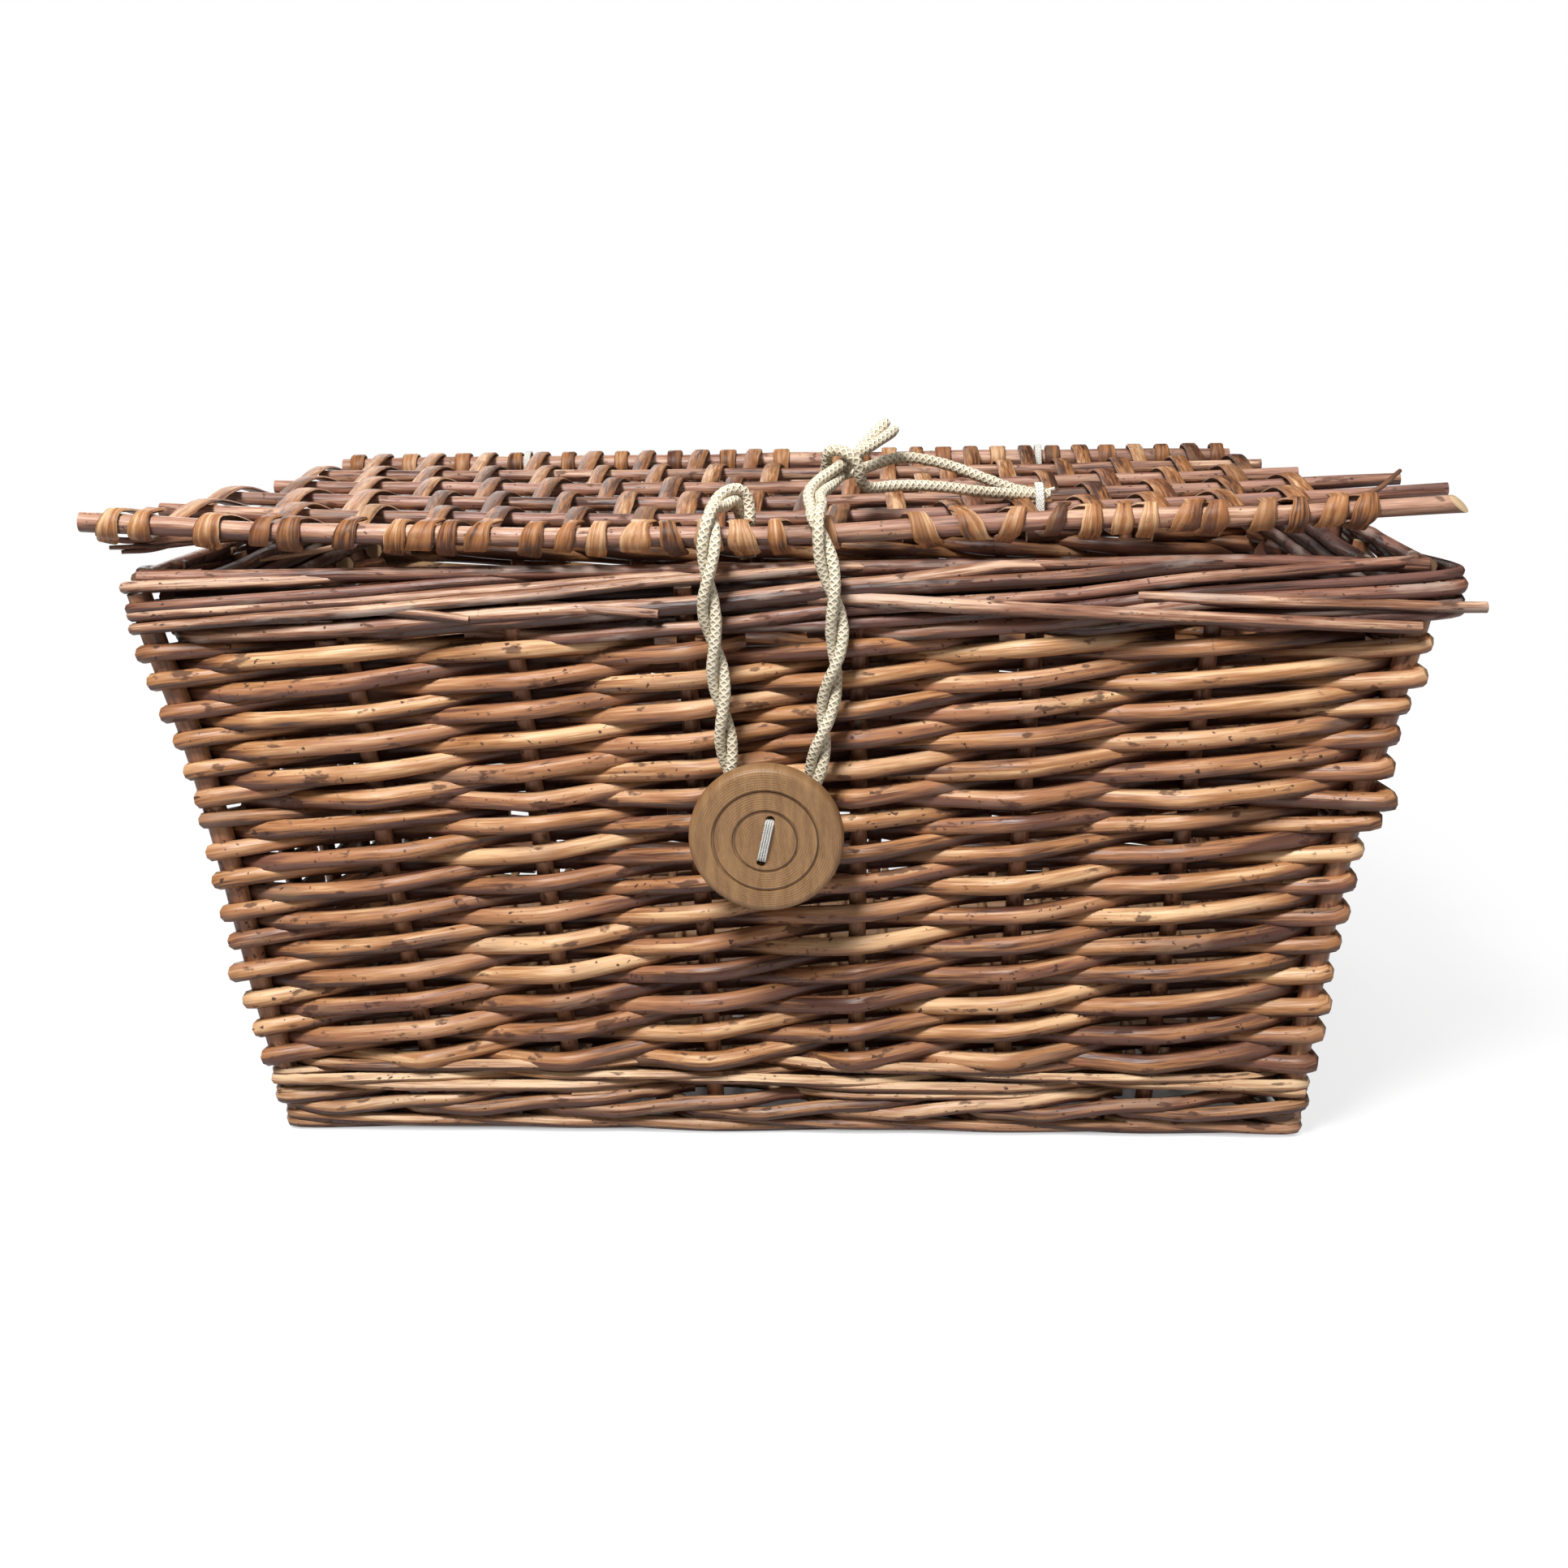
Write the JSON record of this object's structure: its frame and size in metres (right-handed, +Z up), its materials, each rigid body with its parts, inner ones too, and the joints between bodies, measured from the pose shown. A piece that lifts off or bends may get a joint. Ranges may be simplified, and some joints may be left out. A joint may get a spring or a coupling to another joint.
{
  "type": "wicker basket",
  "caption": "Rectangular wicker basket with tapered woven walls and a flat hinged lid, held shut by a doubled cord loop over a round wooden button.",
  "frame": {"origin": "on the floor under the middle of the base", "axes": "+X along the front from left to right, -Y out of the front, +Z up"},
  "size_m": [0.3652, 0.2679, 0.2022],
  "materials": {
    "foot_willow": "dry peeled willow, worn",
    "wale_willow": "pale split willow",
    "stake_willow": "dry peeled willow",
    "weave_willow": "dry buff willow rods",
    "rim_willow": "dry buff willow rods, slightly pink",
    "base_willow": "dry willow rods",
    "lid_stick_willow": "dry peeled willow",
    "lid_skein_willow": "split willow strips, rusty brown",
    "tie_cord": "white cotton cord",
    "loop_cord": "cream cotton cord, doubled and twisted",
    "keeper_cord": "cream cotton cord",
    "button_wood": "turned wood, waxed",
    "button_thread": "white cotton thread"
  },
  "bodies": {
    "basket": {"base_sticks": "base_willow", "base_weave": "base_willow", "button_shank": "button_thread", "corner_stakes": "stake_willow", "foot_border_back": "foot_willow", "foot_border_front": "foot_willow", "foot_border_left": "foot_willow", "foot_border_right": "foot_willow", "foot_wale_back": "wale_willow", "foot_wale_front": "wale_willow", "foot_wale_left": "wale_willow", "foot_wale_right": "wale_willow", "hinge_tie_left": "tie_cord", "hinge_tie_right": "tie_cord", "lower_weave_back": "weave_willow", "lower_weave_front": "weave_willow", "lower_weave_left": "weave_willow", "lower_weave_right": "weave_willow", "rim_border_back": "rim_willow", "rim_border_front": "rim_willow", "rim_border_left": "rim_willow", "rim_border_right": "rim_willow", "stakes_back": "stake_willow", "stakes_front": "stake_willow", "stakes_left": "stake_willow", "stakes_right": "stake_willow", "upper_weave_back": "weave_willow", "upper_weave_front": "weave_willow", "upper_weave_left": "weave_willow", "upper_weave_right": "weave_willow"},
    "lid": {"keeper_cord": "keeper_cord", "keeper_tie": "tie_cord", "lid_back_stick": "lid_stick_willow", "lid_front_stick": "lid_stick_willow", "lid_inner_sticks": "lid_stick_willow", "lid_skeins": "lid_skein_willow", "loop_finger": "loop_cord", "loop_root": "loop_cord"},
    "button": {"button": "button_wood", "button_stitch": "button_thread"},
    "closure_loop": {"closure_loop": "loop_cord"}
  },
  "joints": [
    {"name": "lid_hinge", "type": "hinge", "parent": "basket", "child": "lid", "pos_m": [0, 0.12269, 0.17174], "axis": [-1, 0, 0], "range_deg": [0, 110]},
    {"name": "button_swivel", "type": "hinge", "parent": "basket", "child": "button", "pos_m": [-0.0017, -0.11398, 0.0979], "axis": [0, -0.9913, -0.1314], "range_deg": [-40, 40]},
    {"name": "loop_swing", "type": "hinge", "parent": "lid", "child": "closure_loop", "pos_m": [0, -0.12671, 0.17174], "axis": [1, 0, 0], "range_deg": [0, 110], "deforming": ["closure_loop"]}
  ],
  "couplings": [
    {"joint": "loop_swing", "follows": "lid_hinge", "ratio": 1}
  ]
}
